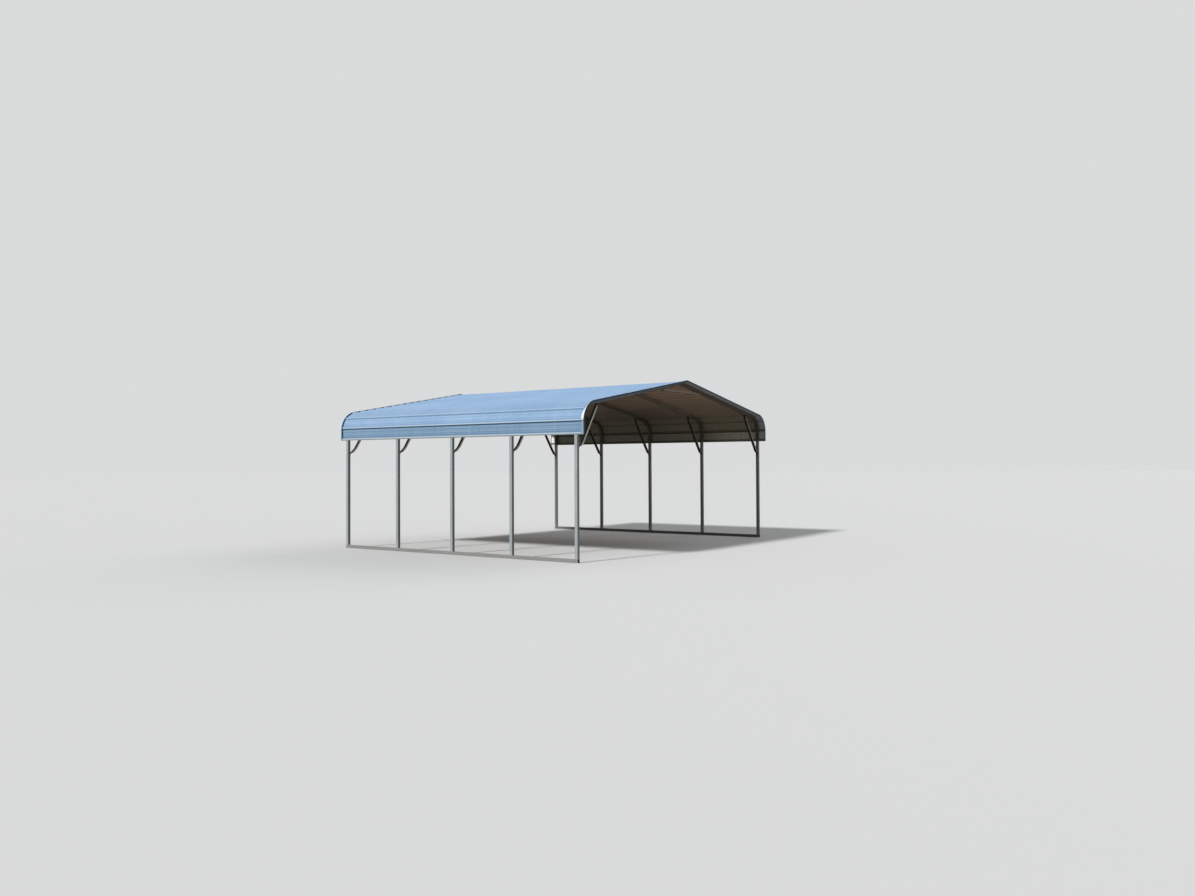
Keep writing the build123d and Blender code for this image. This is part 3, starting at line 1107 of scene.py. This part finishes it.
@dataclass
class Skeleton:
    """The galvanised rails, posts, bows and braces, with their screws and the weld at each bow's ridge."""

    line: RoofLine = RoofLine()
    layout: Layout = Layout()
    screw: HexScrew = HexScrew(washer_radius=0.0066, washer_height=0.0012, flange_radius=0.0062)
    heads: Colour = (0.55, 0.56, 0.56)
    worn_heads: Colour = (0.36, 0.33, 0.28)
    post_x: float = 3.62585
    rail: float = 0.0635
    knee_foot: float = 1.885
    knee_reach: float = 0.660
    knee_reach_front_left: float = 0.586
    peak_half: float = 0.750
    gauge: float = 0.0019
    seat: float = 0.0003
    spigot_screws: Span = (0.045, 0.110)
    foot_tab_screws: Span = (0.024, 0.062)
    slope_tab_screws: Span = (0.040, 0.084)
    bead: float = 0.0032
    bead_stop: float = 0.0048
    bead_cuts: int = 6
    bead_rings: int = 2

    def dress(self) -> None:
        """Gives the frame its zinc, and adds screws and welds."""
        finishes = {
            "base_rail": Zinc(
                "zinc_rail",
                Lay.ALONG,
                colour=(0.30, 0.33, 0.35),
                dull=(0.24, 0.26, 0.275),
                soil=(0.25, 0.22, 0.17),
            ),
            "post": Zinc("zinc_post", Lay.UP),
            "bow": BowZinc("zinc_bow", Lay.OVER),
            "knee_brace": BraceZinc("zinc_knee_brace", Lay.UP),
            "peak_brace": BraceZinc(
                "zinc_peak_brace",
                Lay.OVER,
                # The peak braces' warm brown is painted light bounced from the ground, as on the sheets'
                # underside
                colour=(0.52, 0.46, 0.41),
                dull=(0.45, 0.40, 0.355),
                inner=(0.17, 0.155, 0.135),
            ),
        }
        for start, zinc in finishes.items():
            finish = zinc.make()
            for name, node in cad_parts.items():
                if name.startswith(start):
                    repaint(node, finish)
        head = ScrewPaint("zinc_screw_heads", self.heads, self.worn_heads, metal=0.85).make()
        self.screw.set_out("post_screws", list(self.post_screws()), head, "galvanised_steel")
        self.screw.set_out("brace_screws", list(self.brace_screws()), head, "galvanised_steel")
        self.weld_ridges()

    def post_screws(self) -> Iterator[tuple[Vector, Vector]]:
        """The screws into each post's spigots, on two faces at its foot and on the outer one at its head.

        Yields:
            Each screw's place and way out.
        """
        first, second = self.spigot_screws
        foot, top = self.rail, self.layout.post_top
        for side in (-1, 1):
            for along in self.layout.bows:
                for height in (foot + first, foot + second, top - first, top - second):
                    for face in (-1, 1):
                        if face == side or height < top / 2:
                            place = Vector((side * self.post_x + face * self.rail / 2, along, height))
                            yield place, Vector((face, 0, 0))

    def brace_screws(self) -> Iterator[tuple[Vector, Vector]]:
        """The two screws in each tab of the knee and peak braces.

        Yields:
            Each screw's place and way out.
        """
        slope = self.line.pitch
        inner = self.post_x - self.rail / 2
        lift = self.gauge + self.seat
        for side in (-1, 1):
            down = Vector((-side * sin(slope), 0, -cos(slope)))
            for along in self.layout.bows:
                for up in self.foot_tab_screws:
                    yield Vector((side * (inner - lift), along, self.knee_foot + up)), Vector((-side, 0, 0))
                near_left = side < 0 and along == self.layout.bows[0]
                reach = self.knee_reach_front_left if near_left else self.knee_reach
                for back in self.slope_tab_screws:
                    for x in (inner - reach - back * cos(slope), self.peak_half + back * cos(slope)):
                        yield Vector((side * x, along, self.line.under(x))) + down * lift, down

    def ridge_bead(self) -> bpy.types.Object:
        """Builds the bead round the sides and underside of a bow's joint at the ridge.

        Returns:
            The bead of a bow in the middle of the carport.
        """
        low = self.line.ridge
        high = low + self.line.tube / cos(self.line.pitch)
        middle = (low + high) / 2
        deselect()
        bpy.ops.mesh.primitive_plane_add(size=1.0, location=(0, 0, middle), rotation=(0, radians(90), 0))
        ring = bpy.context.active_object
        ring.dimensions = (high - low, self.line.tube, 0)
        bpy.ops.object.transform_apply(location=True, rotation=True, scale=True)
        mode("EDIT")
        bpy.ops.mesh.delete(type="ONLY_FACE")
        bpy.ops.mesh.select_mode(type="EDGE")
        bpy.ops.mesh.select_all(action="DESELECT")
        mode("OBJECT")
        for edge in ring.data.edges:
            heights = [ring.data.vertices[corner].co.z for corner in edge.vertices]
            edge.select = min(heights) > middle
        mode("EDIT")
        bpy.ops.mesh.delete(type="EDGE")
        bpy.ops.mesh.select_all(action="SELECT")
        bpy.ops.mesh.subdivide(number_cuts=self.bead_cuts)
        mode("OBJECT")
        for corner in ring.data.vertices:
            corner.co.z = min(corner.co.z, high - self.bead_stop)
        bpy.ops.object.convert(target="CURVE")
        ring = bpy.context.active_object
        ring.data.bevel_depth = self.bead
        ring.data.bevel_resolution = self.bead_rings
        ring.data.use_fill_caps = True
        bpy.ops.object.convert(target="MESH")
        return bpy.context.active_object

    def weld_ridges(self) -> None:
        """Adds the weld beads at the bows' ridges, joined to one piece."""
        places = [Matrix.Translation((0, along, 0)) for along in self.layout.bows]
        piece = spread(self.ridge_bead(), places, "ridge_welds")
        bpy.context.view_layer.objects.active = piece
        piece.select_set(True)
        bpy.ops.object.shade_smooth()
        repaint(piece, WeldMetal().make())
        deselect()
        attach(piece, "root")
        log.info("ridge_welds: %d beads", len(places))


def repaint(node: bpy.types.Object, finish: bpy.types.Material) -> None:
    """Gives a piece one finish in every material slot.

    Args:
        node: The piece.
        finish: The material.
    """
    if not node.material_slots:
        node.data.materials.append(finish)
    for slot in node.material_slots:
        slot.material = finish


@dataclass
class Studio:
    """The pale floor, the light and the camera."""

    eye: tuple[float, float, float] = (-17.69737, -13.36916, 1.74384)
    heading: float = 0.9576
    rise: float = 0.01668
    roll: float = -0.00465
    lens: float = 29.652
    sun_way: tuple[float, float, float] = (0.78, -0.12, -0.62)
    sun_power: float = 3.1
    sun_angle: float = radians(7)
    fill_way: tuple[float, float, float] = (-0.84, 0.10, -0.52)
    fill_power: float = 0.9
    fill_angle: float = radians(40)
    ambient: float = 0.20
    daylight: Colour = (0.93, 0.97, 1.0)
    backdrop: Colour = (0.70, 0.705, 0.71)
    floor: Colour = (0.735, 0.735, 0.73)
    floor_bounce: Colour = (0.36, 0.325, 0.27)
    floor_size: float = 400.0
    floor_drop: float = 0.0005
    lamp_distance: float = 12.0
    sensor: float = 36.0
    sight: float = 600.0

    def build(self) -> None:
        """Sets the stage."""
        self.lay_floor()
        self.light()
        self.set_camera()
        bpy.context.scene.view_settings.view_transform = "Standard"

    def lay_floor(self) -> None:
        """Adds the floor, which shows pale and throws a duller light back up."""
        deselect()
        bpy.ops.mesh.primitive_plane_add(size=self.floor_size, location=(0, 0, -self.floor_drop))
        floor = bpy.context.active_object
        floor.name = "floor"
        r = Recipe.named("floor")
        seen = r.node("ShaderNodeLightPath", out="Is Camera Ray")
        colour = r.mix(self.floor_bounce, self.floor, seen)
        floor.data.materials.append(r.finish(Base_Color=colour, Roughness=0.95, Specular_IOR_Level=0.1))
        deselect()

    def light(self) -> None:
        """Adds the key light, a soft light from the far side and the even light from all round."""
        self.add_lamp("key_light", self.sun_way, self.sun_power, self.sun_angle)
        self.add_lamp("fill_light", self.fill_way, self.fill_power, self.fill_angle)
        world = bpy.data.worlds.new("studio")
        bpy.context.scene.world = world
        r = Recipe(world)
        looked_at = r.node("ShaderNodeLightPath", out="Is Camera Ray")
        mirrored = r.node("ShaderNodeLightPath", out="Is Glossy Ray")
        seen = r.most(looked_at, mirrored)
        around = r.node("ShaderNodeBackground", values={"Color": self.daylight, "Strength": self.ambient})
        shown = r.node("ShaderNodeBackground", values={"Color": self.backdrop, "Strength": 1.0})
        both = r.node("ShaderNodeMixShader", values={0: seen, 1: around, 2: shown})
        r.node("ShaderNodeOutputWorld", values={"Surface": both})

    def add_lamp(self, name: str, way: tuple[float, float, float], power: float, angle: float) -> None:
        """Adds a distant lamp.

        Args:
            name: Its name.
            way: Where its light travels.
            power: Its strength.
            angle: How wide it looks, which softens its shadows.
        """
        deselect()
        bpy.ops.object.light_add(type="SUN", location=Vector(way) * -self.lamp_distance)
        lamp = bpy.context.active_object
        lamp.name = name
        lamp.rotation_euler = Vector(way).to_track_quat("-Z", "Y").to_euler()
        lamp.data.energy = power
        lamp.data.angle = angle

    def set_camera(self) -> None:
        """Stands the camera where the photograph was taken from."""
        level = cos(self.rise)
        forward = Vector((sin(self.heading) * level, cos(self.heading) * level, sin(self.rise)))
        right = Vector((cos(self.heading), -sin(self.heading), 0.0))
        up = right.cross(forward)
        turned_right = right * cos(self.roll) + up * sin(self.roll)
        turned_up = up * cos(self.roll) - right * sin(self.roll)
        deselect()
        bpy.ops.object.camera_add()
        camera = bpy.context.active_object
        camera.name = "camera"
        frame_axes = Matrix((turned_right, turned_up, -forward)).transposed().to_4x4()
        camera.matrix_world = Matrix.Translation(self.eye) @ frame_axes
        camera.data.sensor_fit = "HORIZONTAL"
        camera.data.sensor_width = self.sensor
        camera.data.lens = self.lens
        camera.data.clip_end = self.sight
        bpy.context.scene.camera = camera


def main() -> None:
    """Builds everything in order."""
    logging.basicConfig(level=logging.INFO, format="%(message)s")
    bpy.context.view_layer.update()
    Studio().build()
    Roof().dress()
    Skeleton().dress()


if __name__ == "__main__":
    main()
